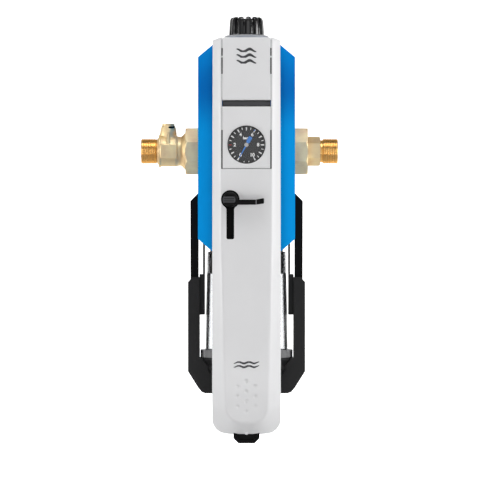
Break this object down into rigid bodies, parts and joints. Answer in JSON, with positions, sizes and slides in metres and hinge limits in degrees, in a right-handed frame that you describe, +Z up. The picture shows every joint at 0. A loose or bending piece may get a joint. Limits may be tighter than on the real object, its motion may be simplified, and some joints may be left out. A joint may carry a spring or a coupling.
{
  "type": "magnetic system filter",
  "caption": "Inline water filter station with swinging front lever, clear sieve cup with magnet, pressure reducer knob, gauge and threaded union fittings.",
  "frame": {"origin": "middle of the horizontal pipe run, on its axis", "axes": "+X along the pipe towards the outlet, -Y towards the front lever, +Z up"},
  "size_m": [0.2092, 0.1954, 0.4405],
  "materials": {
    "brass_body": "satin cast brass",
    "brass_thread": "bright machined brass",
    "nut_metal": "satin plated brass",
    "steel_part": "satin",
    "white_plastic": "smooth semi-gloss",
    "blue_plastic": "smooth semi-gloss",
    "black_plastic": "fine matte grain",
    "charcoal_plastic": "fine matte grain",
    "grey_plastic": "fine matte",
    "strip_plastic": "satin",
    "clear_plastic": "clear, glossy",
    "gauge_glass": "clear",
    "dial_print": "printed dial",
    "pointer_blue": "painted",
    "seal_rubber": "matte",
    "magnet_metal": "nickel coated"
  },
  "bodies": {
    "root": {"manifold": "brass_body", "inlet_union_nut": "nut_metal", "outlet_union_nut": "nut_metal", "union_gaskets": "seal_rubber", "check_valve_body": "brass_body", "test_plug": "brass_body", "check_cartridge": "grey_plastic", "outlet_tail": "brass_thread", "filter_head": "charcoal_plastic", "head_seal": "seal_rubber", "flange_bolts": "steel_part", "reducer_bonnet": "black_plastic", "collar": "white_plastic", "gauge_case": "black_plastic", "gauge_dial": "dial_print", "gauge_lens": "gauge_glass", "gauge_stem": "brass_body", "casing_left": "blue_plastic", "casing_right": "blue_plastic", "back_cover": "charcoal_plastic", "cover_screws": "steel_part", "top_panel": "white_plastic", "gauge_panel": "white_plastic", "grip_strip": "strip_plastic", "wave_mark": "strip_plastic", "pivot_brackets": "steel_part", "pivot_pins": "steel_part", "rails": "black_plastic", "cup_seal": "seal_rubber"},
    "front_lever": {"front_cover": "white_plastic", "keyhole_liner": "black_plastic"},
    "lock": {"lock_lever": "black_plastic", "lock_cam": "steel_part"},
    "latch": {"latch_tab": "black_plastic", "latch_spring": "steel_part"},
    "cup_carrier": {"yoke": "charcoal_plastic", "guide_shoes": "charcoal_plastic", "lift_rods": "steel_part", "filter_cup": "clear_plastic", "ribbed_ring": "grey_plastic", "cup_base": "black_plastic", "keeper": "black_plastic", "sieve_frame": "white_plastic", "sieve_mesh": "steel_part", "magnet_sleeve": "steel_part", "magnet_rod": "magnet_metal"},
    "adjuster": {"knob": "black_plastic", "spindle": "steel_part"},
    "spring_seat": {"spring_plate": "steel_part", "setting_spring": "steel_part"},
    "piston": {"reducer_piston": "brass_body"},
    "pointer": {"gauge_pointer": "pointer_blue"},
    "poppet": {"check_poppet": "black_plastic", "check_spring": "steel_part"}
  },
  "joints": [
    {"name": "lever_swing", "type": "hinge", "parent": "root", "child": "front_lever", "pos_m": [0, -0.116, 0.096], "axis": [-1, 0, 0], "range_deg": [0, 80]},
    {"name": "lock_turn", "type": "hinge", "parent": "front_lever", "child": "lock", "pos_m": [-0.0164, -0.145, -0.054], "axis": [0, 1, 0], "range_deg": [0, 90]},
    {"name": "latch_pull", "type": "slide", "parent": "front_lever", "child": "latch", "axis": [0, 0, -1], "range_m": [0, 0.004], "stiffness_N_per_m": 150, "springref_m": -0.004, "deforming": ["latch_spring"]},
    {"name": "carrier_drop", "type": "slide", "parent": "root", "child": "cup_carrier", "axis": [0, 0, -1], "range_m": [0, 0.018]},
    {"name": "knob_turn", "type": "hinge", "parent": "root", "child": "adjuster", "pos_m": [0, -0.062, 0.128], "axis": [0, 0, 1], "range_deg": [-540, 540]},
    {"name": "seat_travel", "type": "slide", "parent": "root", "child": "spring_seat", "axis": [0, 0, 1], "range_m": [-0.0023, 0.0023], "deforming": ["setting_spring"]},
    {"name": "piston_lift", "type": "slide", "parent": "root", "child": "piston", "axis": [0, 0, 1], "range_m": [0, 0.0024], "stiffness_N_per_m": 800, "springref_m": -0.004, "deforming": ["setting_spring"]},
    {"name": "pointer_turn", "type": "hinge", "parent": "root", "child": "pointer", "pos_m": [0, -0.1435, 0.0015], "axis": [0, 1, 0], "range_deg": [0, 300], "stiffness_Nm_per_rad": 0.0001},
    {"name": "poppet_open", "type": "slide", "parent": "root", "child": "poppet", "axis": [1, 0, 0], "range_m": [0, 0.004], "stiffness_N_per_m": 60, "springref_m": -0.003, "deforming": ["check_spring"]}
  ],
  "couplings": [
    {"joint": "carrier_drop", "follows": "lever_swing", "m_per_rad": 0.012872},
    {"joint": "seat_travel", "follows": "knob_turn", "m_per_rad": 0.00023873}
  ]
}
